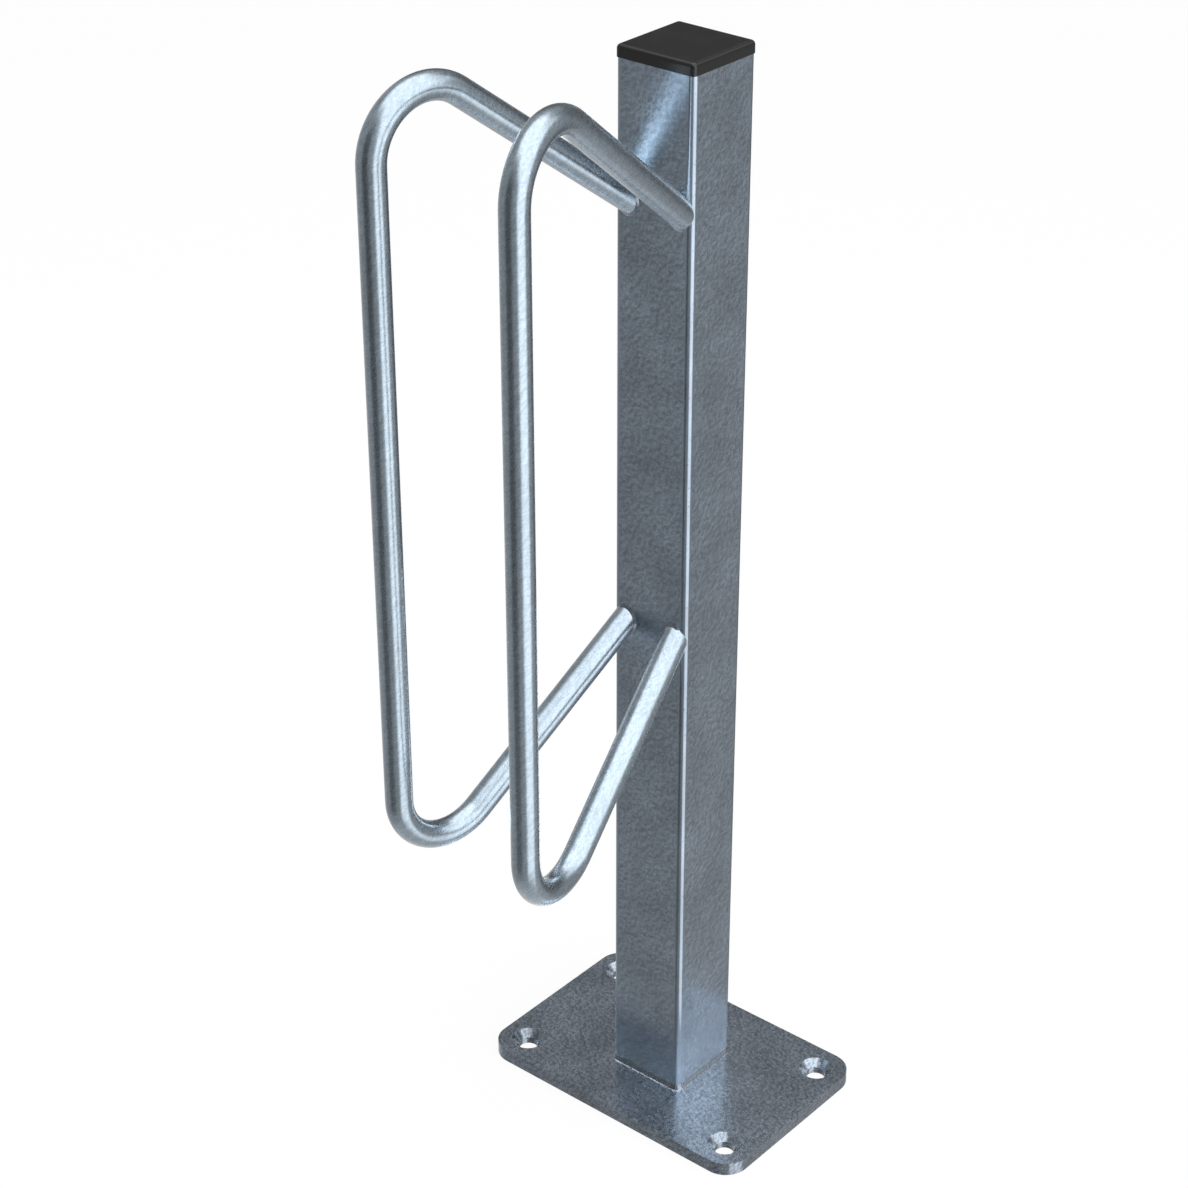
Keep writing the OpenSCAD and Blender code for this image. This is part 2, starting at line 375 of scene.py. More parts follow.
def hot_dip_zinc(name, base, *, roughness, mottle_mm, mottle_depth, speck_depth, relief_mm, corner_mm=None):
    """Hot-dip galvanised steel: a dull blue-grey metal, clouded where the zinc crystals grew at other
    speeds, with painted light and shade on its crystals, dark specks of dross, faint handling streaks
    and a low orange-peel relief. The zinc lies smooth on the upright corners of a square tube, which
    start at corner_mm from its axis."""
    material = new_material(name)
    tree = material.node_tree
    place = add_node(tree, "ShaderNodeTexCoord").outputs["Object"]
    along = add_node(
        tree, "ShaderNodeMapping", {"Vector": place, "Location": [step * MM for step in PAINTED_SHADE_STEP_MM]}
    )
    leaning = add_node(
        tree, "ShaderNodeMapping", {"Vector": place, "Rotation": STREAK_TURN, "Scale": STREAK_STRETCH}
    )
    noise = {
        pattern: add_node(
            tree, "ShaderNodeTexNoise",
            {"Vector": at, "Scale": 1 / (size_mm * MM), "Detail": detail, "Roughness": detail_strength},
        )
        for pattern, at, size_mm, detail, detail_strength in (
            ("cloud", place, CLOUD_MM, 2.0, 0.5),
            ("mottle", place, mottle_mm, 2.0, 0.5),
            ("mottle along", along, mottle_mm, 2.0, 0.5),
            ("speck", place, SPECK_MM, 1.0, 0.5),
            ("streak", leaning, STREAK_MM, 2.0, 0.5),
            ("peel", place, mottle_mm, 1.0, 0.4),
        )
    }
    # Painted light and shade: each crystal's tone is painted lighter on one side and darker on the other,
    #     as the difference between the mottling and its own copy a little way along
    crystal_light_and_shade = add_node(
        tree, "ShaderNodeMath", {0: noise["mottle"], 1: noise["mottle along"]}, operation="SUBTRACT"
    )
    grained = 1.0
    if corner_mm:
        parts = add_node(tree, "ShaderNodeSeparateXYZ", {"Vector": place}).outputs
        off_x, off_y = (
            add_node(tree, "ShaderNodeMath", {0: parts[axis]}, operation="ABSOLUTE") for axis in ("X", "Y")
        )
        nearer = add_node(tree, "ShaderNodeMath", {0: off_x, 1: off_y}, operation="MINIMUM")
        grained = add_node(
            tree, "ShaderNodeMapRange",
            {"Value": nearer, "From Min": corner_mm * MM, "From Max": (corner_mm - GRAIN_FADE_MM) * MM},
            interpolation_type="SMOOTHSTEP",
        )
        crystal_light_and_shade = add_node(tree, "ShaderNodeMath", {0: crystal_light_and_shade, 1: grained}, operation="MULTIPLY")
    tone = 1.0
    # Each pattern's value, from low to high, takes the coat's tone from dark to light
    for pattern, low, high, dark, light, blend in (
        (noise["cloud"], NOISE_LOW, NOISE_HIGH, 1 - mottle_depth / 2, 1 + mottle_depth / 2, "LINEAR"),
        # Painted light and shade of the crystals, not relief
        (crystal_light_and_shade, -0.16, 0.16, 1 - mottle_depth, 1 + mottle_depth, "SMOOTHSTEP"),
        (noise["speck"], 0.24, 0.36, 1 - speck_depth, 1.0, "LINEAR"),
        (noise["streak"], 0.55, 0.75, 1.0, 1.05, "LINEAR"),
    ):
        pattern_tone = add_node(
            tree, "ShaderNodeMapRange",
            {"Value": pattern, "From Min": low, "From Max": high, "To Min": dark, "To Max": light},
            interpolation_type=blend,
        )
        tone = add_node(tree, "ShaderNodeMath", {0: tone, 1: pattern_tone}, operation="MULTIPLY")
    tinted = add_node(tree, "ShaderNodeVectorMath", {0: tuple(base), "Scale": tone}, operation="SCALE")
    gloss_change = mottle_depth / 10
    gloss = add_node(
        tree, "ShaderNodeMapRange",
        {
            "Value": noise["mottle"], "From Min": NOISE_LOW, "From Max": NOISE_HIGH,
            "To Min": roughness - gloss_change, "To Max": roughness + gloss_change,
        },
    )
    relief = add_node(
        tree, "ShaderNodeBump", {"Height": noise["peel"], "Distance": relief_mm * MM, "Strength": grained}
    )
    shader = add_node(
        tree, "ShaderNodeBsdfPrincipled",
        {"Base Color": tinted, "Metallic": METAL_SHARE, "Roughness": gloss, "Normal": relief},
    )
    add_node(tree, "ShaderNodeOutputMaterial", {"Surface": shader})
    return material


def moulded_polyethylene(name, base):
    """Black polyethylene from a polished mould: a near-black plastic with a satin sheen and a very fine
    grain that spreads the highlights."""
    material = new_material(name)
    tree = material.node_tree
    place = add_node(tree, "ShaderNodeTexCoord").outputs["Object"]
    grain = add_node(
        tree, "ShaderNodeTexNoise",
        {"Vector": place, "Scale": 1 / (CAP_GRAIN_MM * MM), "Detail": 2.0, "Roughness": 0.5},
    )
    scuff = add_node(
        tree, "ShaderNodeTexNoise",
        {"Vector": place, "Scale": 1 / (CAP_SCUFF_MM * MM), "Detail": 3.0, "Roughness": 0.6},
    )
    roughness = finish().cap_roughness
    gloss = add_node(
        tree, "ShaderNodeMapRange",
        {
            "Value": scuff, "From Min": NOISE_LOW, "From Max": NOISE_HIGH,
            "To Min": roughness - CAP_SCUFF_DEPTH, "To Max": roughness + CAP_SCUFF_DEPTH,
        },
    )
    relief = add_node(
        tree, "ShaderNodeBump", {"Height": grain, "Distance": CAP_RELIEF_MM * MM, "Strength": 1.0}
    )
    shader = add_node(
        tree, "ShaderNodeBsdfPrincipled",
        {
            "Base Color": (*base, 1.0), "Roughness": gloss, "IOR": 1.5,
            "Specular IOR Level": finish().cap_sheen, "Normal": relief,
        },
    )
    add_node(tree, "ShaderNodeOutputMaterial", {"Surface": shader})
    return material


# Pieces

def make_base_plate():
    size = sizes()
    plate = rounded_bar(
        "anchored_base_plate", PLATE_LOW, PLATE_HIGH, size.plate_corner_radius, PLATE_CORNER_STEPS
    )
    below = PLATE_LOW.z - size.tube
    above = PLATE_HIGH.z + size.tube
    sink_depth = (size.anchor_sink - size.anchor_hole) / 2
    for side_x in (-1, 1):
        for side_y in (-1, 1):
            centre = (
                side_x * (PLATE_HIGH.x - size.anchor_inset),
                side_y * (PLATE_HIGH.y - size.anchor_inset),
            )
            cut(plate, round_tool(size.anchor_hole, below, above, centre))
            # A 90 degree countersink widens as fast as it rises, on past the plate's top
            cut(
                plate,
                round_tool(
                    size.anchor_hole, PLATE_HIGH.z - sink_depth, above, centre,
                    size.anchor_hole + 2 * (sink_depth + size.tube),
                ),
            )
    cut(plate, round_tool(size.drain_hole, below, above, (0, 0)))
    round_edges(plate, size.zinc_edge, steps=3, sharp_from=30)
    smooth(plate)
    return plate


def make_post():
    size = sizes()
    post = rounded_bar("square_tube_post", POST_LOW, POST_HIGH, size.post_corner_radius)
    ends = (POST_LOW.z, POST_HIGH.z)
    edit(post, "FACE")
    choose(post, "FACE", lambda face: abs(face.normal.z) > PARALLEL)
    bpy.ops.mesh.inset(thickness=size.post_wall, use_even_offset=True)
    bpy.ops.mesh.delete(type="FACE")
    bpy.ops.mesh.select_mode(type="EDGE")
    inner = POST_HIGH.x - size.post_wall
    choose(
        post, "EDGE",
        lambda edge: all(
            min(abs(v.co.z - z) for z in ends) < TOUCH and max(abs(v.co.x), abs(v.co.y)) < inner + TOUCH
            for v in edge.verts
        ),
    )
    bpy.ops.mesh.bridge_edge_loops()
    bpy.ops.object.mode_set(mode="OBJECT")
    outwards(post)
    hoop_x = POST_HIGH.x - size.tube / 2
    for side in (-1, 1):
        for drop in (size.hoop_drop, size.hoop_drop + size.hoop_gap):
            deselect_all()
            bpy.ops.mesh.primitive_cylinder_add(
                vertices=VENT_SIDES, radius=size.vent_hole / 2, depth=4 * size.post_wall,
                location=(side * hoop_x, POST_LOW.y, POST_HIGH.z - drop),
                rotation=(math.radians(90), 0, 0),
            )
            cut(post, settle(bpy.context.object, "vent"))
    smooth(post)
    return post


def make_post_cap():
    size = sizes()
    head_low = Vector((CAP_LOW.x, CAP_LOW.y, POST_HIGH.z))
    cap = rounded_bar("post_end_cap", head_low, CAP_HIGH, size.cap_corner_radius)
    edit(cap, "EDGE")
    choose(cap, "EDGE", lambda edge: all(v.co.z > CAP_HIGH.z - TOUCH for v in edge.verts))
    bpy.ops.mesh.bevel(
        offset=size.cap_edge_radius * CAP_BEVEL_SHARE, segments=CORNER_STEPS, profile=0.5, affect="EDGES"
    )
    bpy.ops.object.mode_set(mode="OBJECT")
    bore = POST_HIGH.x - size.post_wall
    rib_edge = bore - size.cap_clearance
    wall_edge = rib_edge - size.cap_rib_out
    lap = size.cap_wall / 2
    bottom = POST_HIGH.z - size.cap_insert_depth
    insert = rounded_bar(
        "insert", Vector((-wall_edge, -wall_edge, bottom)),
        Vector((wall_edge, wall_edge, POST_HIGH.z + lap)), size.cap_clearance, HIDDEN_CORNER_STEPS,
    )
    cut(cap, insert, "UNION")
    pitch = (size.cap_insert_depth - size.cap_rib) / size.cap_ribs
    for row in range(size.cap_ribs):
        low = bottom + row * pitch
        rib = rounded_bar(
            "rib", Vector((-rib_edge, -rib_edge, low)),
            Vector((rib_edge, rib_edge, low + size.cap_rib)), size.cap_wall / 4, HIDDEN_CORNER_STEPS,
        )
        cut(cap, rib, "UNION")
    hollow_edge = wall_edge - size.cap_wall
    hollow = rounded_bar(
        "hollow", Vector((-hollow_edge, -hollow_edge, bottom - lap)),
        Vector((hollow_edge, hollow_edge, POST_HIGH.z)), size.cap_clearance, HIDDEN_CORNER_STEPS,
    )
    cut(cap, hollow)
    smooth(cap)
    return cap


def hoop_plane(side):
    """Matrix that stands a hoop drawn in the XZ plane in its place on the right or left of the post."""
    size = sizes()
    middle = POST_HIGH.z - size.hoop_drop - size.hoop_gap / 2
    foot = Vector((POST_HIGH.x - size.tube / 2, POST_LOW.y, middle))
    right = Matrix.Translation(foot) @ Matrix.Rotation(size.hoop_splay - math.radians(90), 4, "Z")
    return right if side > 0 else Matrix.Scale(-1, 4, (1, 0, 0)) @ right


def make_hoop():
    """The right hoop: a circle drawn out along the leg, spun round the bend and drawn out along the
    arm, then mirrored to its lower half, given its wall and cut to the post's face."""
    size = sizes()
    # From the post out to the leg's axis, in the hoop's own plane
    run = size.hoop_reach / math.cos(size.hoop_splay)
    turn = math.radians(90) + size.arm_slope
    tangent = size.bend_radius * math.tan(turn / 2)
    leg_end = size.hoop_gap / 2 + run * math.tan(size.arm_slope) - tangent
    arm = run / math.cos(size.arm_slope) - tangent + POST_HIGH.x
    deselect_all()
    bpy.ops.mesh.primitive_circle_add(vertices=TUBE_SIDES, radius=size.tube / 2, location=(run, 0, 0))
    hoop = settle(bpy.context.object, "right_wheel_hoop")
    edit(hoop, "VERT")
    bpy.ops.mesh.select_all(action="SELECT")
    bpy.ops.mesh.extrude_region_move(TRANSFORM_OT_translate={"value": (0, 0, leg_end)})
    bpy.ops.mesh.spin(
        steps=BEND_STEPS, angle=turn, center=(run - size.bend_radius, 0, leg_end), axis=(0, 1, 0)
    )
    bpy.ops.mesh.extrude_region_move(
        TRANSFORM_OT_translate={"value": (-math.sin(turn) * arm, 0, math.cos(turn) * arm)}
    )
    bpy.ops.object.mode_set(mode="OBJECT")
    modify(hoop, "MIRROR", use_axis=(False, False, True), use_clip=True)
    outwards(hoop)
    modify(hoop, "SOLIDIFY", thickness=size.tube_wall, offset=-1, use_even_offset=True)
    hoop.matrix_world = hoop_plane(1)
    settle(hoop, hoop.name)
    margin = Vector((0, 0, size.tube))
    core = rounded_bar("core", POST_LOW - margin, POST_HIGH + margin, size.post_corner_radius)
    cut(hoop, core)
    smooth(hoop)
    return hoop


def other_side(piece, name):
    """Copy of the piece on the other side of the stand."""
    twin = copy_of(piece, name)
    twin.scale.x = -1
    settle(twin, name)
    outwards(twin)
    smooth(twin)
    return twin


def swept_bead(name, rings, closed):
    """Solid skin over a row of rings of points, closed on itself or capped at its ends."""
    count = len(rings[0])
    mesh = bmesh.new()
    loops = [[mesh.verts.new(point) for point in ring] for ring in rings]
    steps = len(loops) if closed else len(loops) - 1
    for i in range(steps):
        here, there = loops[i], loops[(i + 1) % len(loops)]
        for j in range(count):
            mesh.faces.new((here[j], here[(j + 1) % count], there[(j + 1) % count], there[j]))
    if not closed:
        mesh.faces.new(loops[0])
        mesh.faces.new(loops[-1][::-1])
    bead_data = bpy.data.meshes.new(name)
    mesh.to_mesh(bead_data)
    mesh.free()
    bead = bpy.data.objects.new(name, bead_data)
    bpy.context.scene.collection.objects.link(bead)
    outwards(bead)
    smooth(bead, sharp_from=50)
    return bead


BEAD_FACE_POINTS = 5
# A bead reaches out over the face below it by this share of its rise, and its ripples swell by this
# share of it
BEAD_REACH = 0.6
RIPPLE_SWELL = 0.04
RINGS_PER_RIPPLE = 4
HOOP_WELD_RINGS = 96
# How fast a bead gains its size from its ends, and the share of it that is left at them
TAPER_RATE = 5
TAPER_LEAST = 0.15


def bead_section(leg, swell):
    """Points of a fillet bead from its root, as (out, up) pairs. It runs up further than out, and its
    face is flat, as the zinc fills its hollows, but for a ripple that swells it."""
    points = [(0.0, 0.0)]
    for i in range(BEAD_FACE_POINTS):
        part = i / (BEAD_FACE_POINTS - 1)
        bulge = swell * math.sin(math.pi * part)
        points.append((BEAD_REACH * leg * (1 - part) + bulge, leg * part + bulge))
    return points


def ripple(distance, leg):
    """Swell of a bead's face at a distance along it, which is steep at the front of each ripple."""
    part = (distance / sizes().weld_ripple) % 1.0
    return leg * RIPPLE_SWELL * part ** 2


def make_foot_weld():
    """Bead round the foot of the post, along its flats and round its corners."""
    size = sizes()
    flat = POST_HIGH.x - size.post_corner_radius
    corner_run = size.post_corner_radius * math.radians(90)
    side_run = 2 * flat + corner_run
    total = 4 * side_run
    count = round(total / (size.weld_ripple / RINGS_PER_RIPPLE))
    rings = []
    for i in range(count):
        travelled = i * total / count
        side, part = divmod(travelled, side_run)
        turn = Matrix.Rotation(side * math.radians(90), 3, "Z")
        if part < 2 * flat:
            root = Vector((POST_HIGH.x, part - flat, POST_LOW.z))
            out = Vector((1, 0, 0))
        else:
            bearing = (part - 2 * flat) / size.post_corner_radius
            out = Vector((math.cos(bearing), math.sin(bearing), 0))
            root = Vector((flat, flat, POST_LOW.z)) + out * size.post_corner_radius
        section = bead_section(size.foot_weld, ripple(travelled, size.foot_weld))
        rings.append([turn @ (root + out * across + UP * rise) for across, rise in section])
    return swept_bead("foot_weld_bead", rings, True)


def make_hoop_weld(side, end, name):
    """Bead along the curve where an arm meets the flat of the post's face, thinned at its two ends."""
    size = sizes()
    along = Vector((math.cos(size.arm_slope), 0, math.sin(size.arm_slope)))
    above = Vector((-math.sin(size.arm_slope), 0, math.cos(size.arm_slope)))
    inward = Vector((0, -1, 0))
    face_normal = Vector((math.cos(size.hoop_splay), -math.sin(size.hoop_splay), 0))
    arm_radius = size.tube / 2
    edge_radius = arm_radius + size.hoop_weld
    flat_edge = size.tube / 2 - size.post_corner_radius
    span = math.acos(-flat_edge * math.cos(size.hoop_splay) / edge_radius)
    placed = hoop_plane(side)
    rings = []
    for i in range(HOOP_WELD_RINGS + 1):
        part = i / HOOP_WELD_RINGS
        bearing = (2 * part - 1) * span
        spoke = math.cos(bearing) * inward + math.sin(bearing) * above
        taper = min(1.0, math.sin(math.pi * part) * TAPER_RATE) ** 0.5
        travelled = (bearing + span) * edge_radius
        leg = size.hoop_weld * max(taper, TAPER_LEAST)
        section = bead_section(leg, ripple(travelled, leg))
        ring = []
        for across, rise in section:
            radius = arm_radius + across
            travel = (rise - radius * spoke.dot(face_normal)) / along.dot(face_normal)
            point = Vector((0, 0, size.hoop_gap / 2)) + along * travel + spoke * radius
            point.z *= end
            ring.append(placed @ point)
        rings.append(ring)
    return swept_bead(name, rings, False)


# Operators

class BIKESTAND_OT_base_plate(bpy.types.Operator):
    """Add the base plate with its countersunk anchor holes"""

    bl_idname = "bike_stand.base_plate"
    bl_label = "Base Plate"

    def execute(self, context):
        zinc = hot_dip_zinc(
            "hot_dip_zinc_on_flat_plate", finish().plate_zinc, roughness=0.25, mottle_mm=2.7,
            mottle_depth=0.36, speck_depth=0.3, relief_mm=0.012,
        )
        hand_over(make_base_plate(), "base_plate", zinc)
        return {"FINISHED"}


class BIKESTAND_OT_post(bpy.types.Operator):
    """Add the square post"""

    bl_idname = "bike_stand.post"
    bl_label = "Post"

    def execute(self, context):
        flat_mm = (POST_HIGH.x - sizes().post_corner_radius) / MM
        zinc = hot_dip_zinc(
            "hot_dip_zinc_on_square_tube", finish().post_zinc, roughness=0.24, mottle_mm=3.2,
            mottle_depth=0.28, speck_depth=0.32, relief_mm=0.0038, corner_mm=flat_mm + CORNER_LAP_MM,
        )
        hand_over(make_post(), "post", zinc)
        return {"FINISHED"}


class BIKESTAND_OT_post_cap(bpy.types.Operator):
    """Add the plastic cap that closes the post"""

    bl_idname = "bike_stand.post_cap"
    bl_label = "Post Cap"

    def execute(self, context):
        plastic = moulded_polyethylene("moulded_black_polyethylene", finish().cap_black)
        hand_over(make_post_cap(), "post_cap", plastic)
        return {"FINISHED"}


class BIKESTAND_OT_wheel_hoops(bpy.types.Operator):
    """Add the two bent hoops that hold a wheel"""

    bl_idname = "bike_stand.wheel_hoops"
    bl_label = "Wheel Hoops"

    def execute(self, context):
        zinc = hot_dip_zinc(
            "hot_dip_zinc_on_round_tube", finish().tube_zinc, roughness=0.27, mottle_mm=4.0,
            mottle_depth=0.14, speck_depth=0.12, relief_mm=0.003,
        )
        right = make_hoop()
        hand_over(other_side(right, "left_wheel_hoop"), "left_hoop", zinc)
        hand_over(right, "right_hoop", zinc)
        return {"FINISHED"}


class BIKESTAND_OT_welds(bpy.types.Operator):
    """Add the weld beads round the post's foot and the hoops' ends"""

    bl_idname = "bike_stand.welds"
    bl_label = "Weld Beads"

    def execute(self, context):
        # The beads' zinc is a darker copy of the coat, painted shade against the extra light the beads catch
        zinc = hot_dip_zinc(
            "hot_dip_zinc_on_weld_bead_with_painted_shade", finish().weld_zinc, roughness=0.26, mottle_mm=1.6,
            mottle_depth=0.2, speck_depth=0.25, relief_mm=0.006,
        )
        hand_over(make_foot_weld(), "foot_weld", zinc)
        for side, side_name in ((-1, "left"), (1, "right")):
            for end, end_name in ((1, "upper"), (-1, "lower")):
                node = f"{side_name}_{end_name}_weld"
                hand_over(make_hoop_weld(side, end, node + "_bead"), node, zinc)
        return {"FINISHED"}


# Stage

# All the numbers of the studio's shapes are degrees. A fade starts where a part is absent and ends
# where it is full, and the heights are angles above the horizon
HEIGHT_FADES = {
    "softbox": (-62, -28),
    "ceiling": (48, 60),
    "mirrored ceiling": (50, 62),
    "foot of the flags": (-48, -32),
    "head of the flags": (44, 20),
    "floor": (-48, -68),
}
SOFTBOX_BEARING = -1.5
SOFTBOX_SIDE_FADE = (33, 26)
SOFTBOX_SPREAD = 70
FLAG_FROM_SOFTBOX = 94
FLAG_SIDE_FADE = (32, 14)
# A round shape's bearing and height, and the radii of its rim and of its full core
CARD = (130, 12, 25, 12)
PANEL = (52, 39, 17, 7)
# How much more than plain white the world gives metal from below the horizon
FLOOR_GAIN = 0.6

# Share of the floor's own light in what the eye sees of it. Its strength is a little over 1 because
# the matt rest is just short of white
GLOW_SHARE = 0.86
GLOW_STRENGTH = 1.02
FLOOR_WIDTH = 30

# The photo's frame has this many pixels a side, and its optical centre is at these pixels
FRAME_PX = 1188
CENTRE_X_PX, CENTRE_Y_PX = 605.18, 634.38


def studio_shapes(tree):
    """The parts of the studio by name, each as 1 in the directions where it is and 0 elsewhere."""
    direction = add_node(tree, "ShaderNodeTexCoord").outputs["Generated"]
    parts = add_node(tree, "ShaderNodeSeparateXYZ", {"Vector": direction}).outputs
    height = parts["Z"]

    def round_shape(bearing, elevation, rim, core):
        """Circle round that direction, as 1 in its core, which fades to 0 at its rim."""
        centre = Vector((math.cos(math.radians(elevation)), 0, math.sin(math.radians(elevation))))
        centre.rotate(Matrix.Rotation(math.radians(bearing), 3, "Z"))
        near = add_node(
            tree, "ShaderNodeVectorMath", {0: direction, 1: tuple(centre)}, operation="DOT_PRODUCT"
        )
        return add_node(
            tree, "ShaderNodeMapRange",
            {
                "Value": near, "From Min": math.cos(math.radians(rim)),
                "From Max": math.cos(math.radians(core)),
            },
            interpolation_type="SMOOTHSTEP",
        )

    shapes = {
        part: add_node(
            tree, "ShaderNodeMapRange",
            {
                "Value": height, "From Min": math.sin(math.radians(start)),
                "From Max": math.sin(math.radians(end)),
            },
            interpolation_type="SMOOTHSTEP",
        )
        for part, (start, end) in HEIGHT_FADES.items()
    }
    bearing = add_node(tree, "ShaderNodeMath", {0: parts["Y"], 1: parts["X"]}, operation="ARCTAN2")
    from_softbox = add_node(
        tree, "ShaderNodeMath", {0: bearing, 1: -math.radians(SOFTBOX_BEARING)}, operation="ADD"
    )
    aside = add_node(tree, "ShaderNodeMath", {0: from_softbox}, operation="ABSOLUTE")
    # The softbox widens as it rises
    rise = add_node(tree, "ShaderNodeMath", {0: height, 1: 0.0}, operation="MAXIMUM")
    rise_squared = add_node(tree, "ShaderNodeMath", {0: rise, 1: rise}, operation="MULTIPLY")
    spread = add_node(
        tree, "ShaderNodeMath", {0: rise_squared, 1: math.radians(SOFTBOX_SPREAD)}, operation="MULTIPLY"
    )
    softbox_side = add_node(tree, "ShaderNodeMath", {0: aside, 1: spread}, operation="SUBTRACT")
    from_flag = add_node(
        tree, "ShaderNodeMath", {0: aside, 1: math.radians(FLAG_FROM_SOFTBOX)}, operation="SUBTRACT"
    )
    flag_side = add_node(tree, "ShaderNodeMath", {0: from_flag}, operation="ABSOLUTE")
    softbox, flags = (
        add_node(
            tree, "ShaderNodeMapRange",
            {"Value": side, "From Min": math.radians(start), "From Max": math.radians(end)},
            interpolation_type="SMOOTHSTEP",
        )
        for side, (start, end) in ((softbox_side, SOFTBOX_SIDE_FADE), (flag_side, FLAG_SIDE_FADE))
    )
    shapes["softbox"] = add_node(
        tree, "ShaderNodeMath", {0: softbox, 1: shapes["softbox"]}, operation="MULTIPLY"
    )
    for end in ("foot of the flags", "head of the flags"):
        flags = add_node(tree, "ShaderNodeMath", {0: flags, 1: shapes.pop(end)}, operation="MULTIPLY")
    shapes["flags"] = flags
    shapes["card"] = round_shape(*CARD)
    shapes["panel"] = round_shape(*PANEL)
    return shapes


def studio_world():
    """Studio whose background is plain white, to the eye and in the metal. An upright softbox, a bright
    ceiling, a round panel, two dark flags and a dark card behind the stand show in the metal too. Matt
    surfaces get the same studio dimmed to where a matt white card that faces up is just white."""
    world = bpy.data.worlds.new("studio")
    bpy.context.scene.world = world
    world.use_nodes = True
    # The light path is only known for rays that leave a surface by its own finish
    world.cycles.sampling_method = "NONE"
    tree = world.node_tree
    tree.nodes.clear()
    shapes = studio_shapes(tree)
    flagged, carded = (
        add_node(tree, "ShaderNodeMath", {0: shapes[shape], 1: 1 - its_level}, operation="MULTIPLY")
        for shape, its_level in (("flags", stage().flag_level), ("card", stage().card_level))
    )
    shaded = add_node(tree, "ShaderNodeMath", {0: flagged, 1: carded}, operation="MAXIMUM")
    lit = add_node(tree, "ShaderNodeMath", {0: 1.0, 1: shaded}, operation="SUBTRACT")
    near_floor = add_node(
        tree, "ShaderNodeMath", {0: shapes["floor"], 1: FLOOR_GAIN, 2: 1.0}, operation="MULTIPLY_ADD"
    )
    level = add_node(tree, "ShaderNodeMath", {0: near_floor, 1: lit}, operation="MULTIPLY")
    for shape, its_level in (
        ("softbox", stage().softbox_level),
        ("ceiling", stage().ceiling_level),
        ("panel", stage().panel_level),
    ):
        level = add_node(
            tree, "ShaderNodeMix", {"Factor": shapes[shape], "A": level, "B": its_level}, data_type="FLOAT"
        )
    # The zinc's colours are darker than its mirror images show it, so metal in metal gets more light
    mirrored = add_node(tree, "ShaderNodeMath", {0: level, 1: stage().mirrored_gain}, operation="MULTIPLY")
    mirrored = add_node(
        tree, "ShaderNodeMix",
        {"Factor": shapes["mirrored ceiling"], "A": mirrored, "B": stage().mirrored_ceiling_level},
        data_type="FLOAT",
    )
    path = add_node(tree, "ShaderNodeLightPath").outputs
    # The depth counts how often the ray was mirrored, so it is 1 on one piece and 2 on two
    in_metal = add_node(
        tree, "ShaderNodeMath", {0: path["Glossy Depth"], 1: 1.5}, operation="GREATER_THAN"
    )
    for_metal = add_node(
        tree, "ShaderNodeMix", {"Factor": in_metal, "A": level, "B": mirrored}, data_type="FLOAT"
    )
    for_matt = add_node(tree, "ShaderNodeMath", {0: level, 1: stage().matt_share}, operation="MULTIPLY")
    strength = add_node(
        tree, "ShaderNodeMix", {"Factor": path["Is Glossy Ray"], "A": for_matt, "B": for_metal},
        data_type="FLOAT",
    )
    studio = add_node(tree, "ShaderNodeBackground", {"Color": (1, 1, 1, 1), "Strength": strength})
    white = add_node(tree, "ShaderNodeBackground", {"Color": (1, 1, 1, 1), "Strength": 1.0})
    seen_directly = add_node(
        tree, "ShaderNodeMath", {0: path["Is Camera Ray"], 1: path["Is Transmission Ray"]},
        operation="MAXIMUM",
    )
    shown = add_node(tree, "ShaderNodeMixShader", {0: seen_directly, 1: studio, 2: white})
    add_node(tree, "ShaderNodeOutputWorld", {"Surface": shown})


def make_floor():
    """Pale floor: matt, with some light of its own to the eye, so that it reads white and keeps a soft
    shadow. Metal sees the world's own white in its place, because the softbox reaches below the floor."""
    deselect_all()
    bpy.ops.mesh.primitive_plane_add(size=FLOOR_WIDTH)
    floor = settle(bpy.context.object, "studio_floor")
    material = new_material("matt_white_floor")
    tree = material.node_tree
    path = add_node(tree, "ShaderNodeLightPath").outputs
    matt = add_node(tree, "ShaderNodeBsdfDiffuse", {"Color": (*stage().floor_white, 1.0)})
    glow = add_node(tree, "ShaderNodeEmission", {"Color": (1, 1, 1, 1), "Strength": GLOW_STRENGTH})
    seen_directly = add_node(
        tree, "ShaderNodeMath", {0: path["Is Camera Ray"], 1: path["Is Transmission Ray"]},
        operation="MAXIMUM",
    )
    glow_seen = add_node(tree, "ShaderNodeMath", {0: seen_directly, 1: GLOW_SHARE}, operation="MULTIPLY")
    mixed = add_node(tree, "ShaderNodeMixShader", {0: glow_seen, 1: matt, 2: glow})
    add_node(tree, "ShaderNodeOutputMaterial", {"Surface": mixed})
    floor.data.materials.append(material)
    floor.visible_glossy = False


def make_lamp():
    """One wide soft lamp overhead, which shades the floor and shows only on matt surfaces."""
    data = bpy.data.lights.new("overhead_softbox", "AREA")
    data.shape = "DISK"
    data.size = stage().lamp_width
    data.energy = stage().lamp_power
    lamp = bpy.data.objects.new("overhead_softbox", data)
    lamp.location = stage().lamp_place
    lamp.rotation_euler = Vector(lamp.location).to_track_quat("Z", "Y").to_euler()
    lamp.visible_glossy = False
    bpy.context.scene.collection.objects.link(lamp)


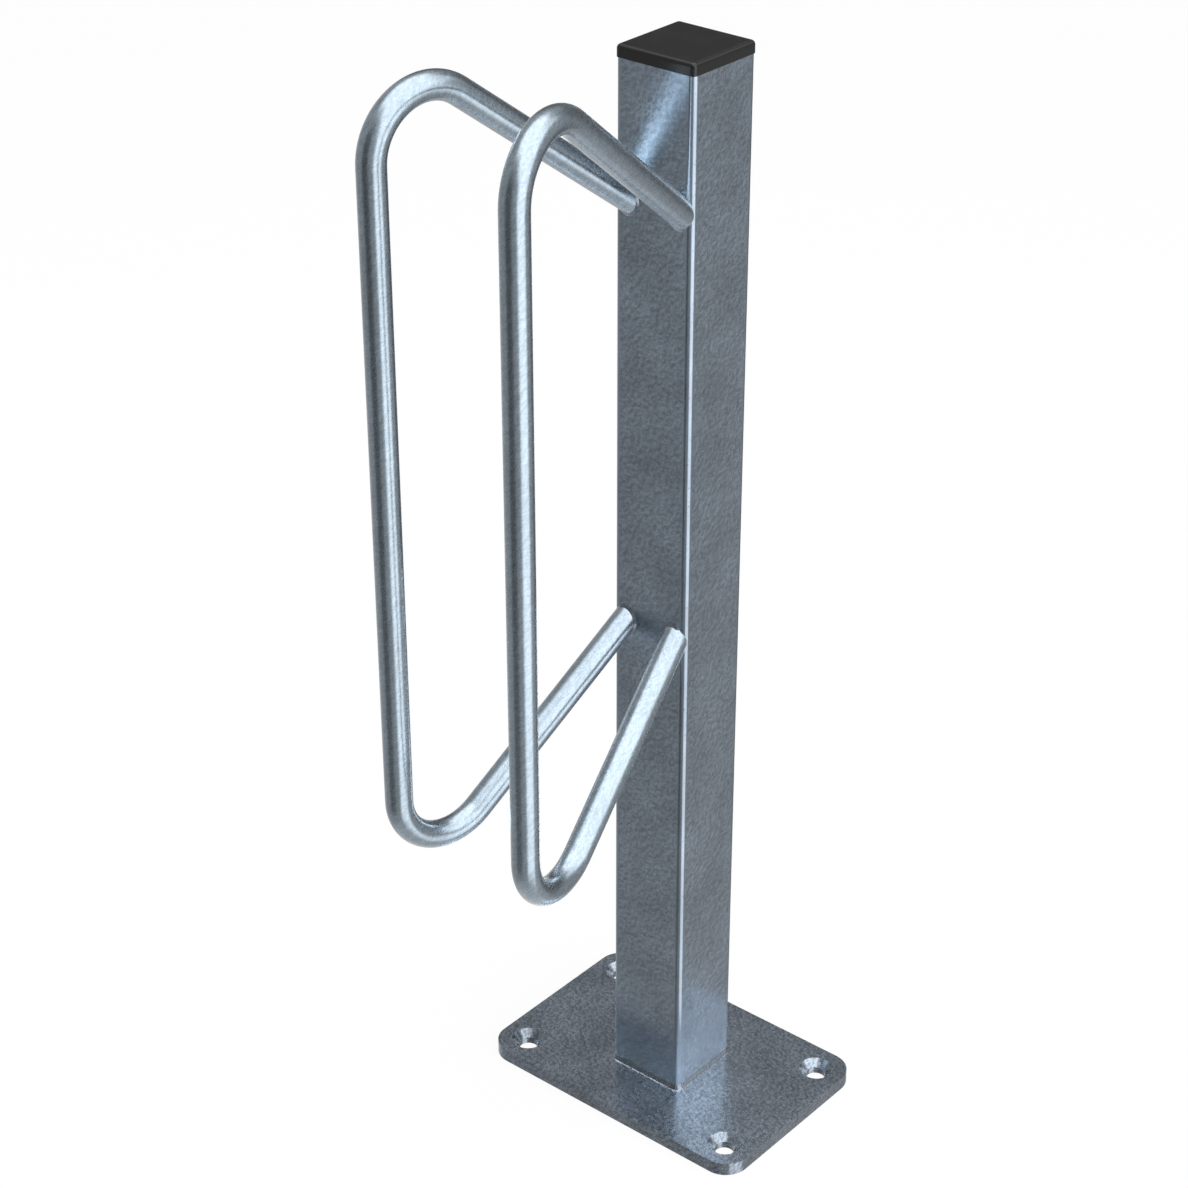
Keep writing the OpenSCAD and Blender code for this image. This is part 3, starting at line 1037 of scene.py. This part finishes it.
def make_camera():
    data = bpy.data.cameras.new("camera")
    data.lens = stage().lens
    data.sensor_width = 36
    data.shift_x = (FRAME_PX / 2 - CENTRE_X_PX) / FRAME_PX
    data.shift_y = (CENTRE_Y_PX - FRAME_PX / 2) / FRAME_PX
    data.clip_start = 0.01
    data.clip_end = 100
    camera = bpy.data.objects.new("camera", data)
    camera.location = stage().camera_place
    camera.rotation_euler = (math.radians(90) - stage().camera_elevation, 0, stage().camera_azimuth)
    bpy.context.scene.collection.objects.link(camera)
    bpy.context.scene.camera = camera


class BIKESTAND_OT_stage(bpy.types.Operator):
    """Add the floor, the studio light and the camera"""

    bl_idname = "bike_stand.stage"
    bl_label = "Stage"

    def execute(self, context):
        context.scene.view_settings.view_transform = "Standard"
        studio_world()
        make_floor()
        make_lamp()
        make_camera()
        return {"FINISHED"}


class BIKESTAND_PT_panel(bpy.types.Panel):
    """Lists the pieces of the stand, its sizes and its finishes"""

    bl_idname = "BIKESTAND_PT_panel"
    bl_label = "Bike Stand"
    bl_space_type = "VIEW_3D"
    bl_region_type = "UI"
    bl_category = "Bike stand"

    def draw(self, context):
        for made in OPERATORS:
            self.layout.operator(made.bl_idname)
        for group in (sizes(), finish(), stage()):
            box = self.layout.box()
            for name in group.__annotations__:
                box.prop(group, name)


GROUPS = {
    "bike_stand_sizes": BikeStandSizes,
    "bike_stand_finish": BikeStandFinish,
    "bike_stand_stage": BikeStandStage,
}
OPERATORS = (
    BIKESTAND_OT_stage,
    BIKESTAND_OT_base_plate,
    BIKESTAND_OT_post,
    BIKESTAND_OT_post_cap,
    BIKESTAND_OT_wheel_hoops,
    BIKESTAND_OT_welds,
)


def register():
    for made in (*GROUPS.values(), *OPERATORS, BIKESTAND_PT_panel):
        bpy.utils.register_class(made)
    for name, group in GROUPS.items():
        setattr(bpy.types.Scene, name, bpy.props.PointerProperty(type=group))


def unregister():
    for name in GROUPS:
        delattr(bpy.types.Scene, name)
    for made in (BIKESTAND_PT_panel, *reversed(OPERATORS), *reversed(list(GROUPS.values()))):
        bpy.utils.unregister_class(made)


def main():
    register()
    bpy.ops.bike_stand.stage()
    bpy.ops.bike_stand.base_plate()
    bpy.ops.bike_stand.post()
    bpy.ops.bike_stand.post_cap()
    bpy.ops.bike_stand.wheel_hoops()
    bpy.ops.bike_stand.welds()


if __name__ == "__main__":
    main()
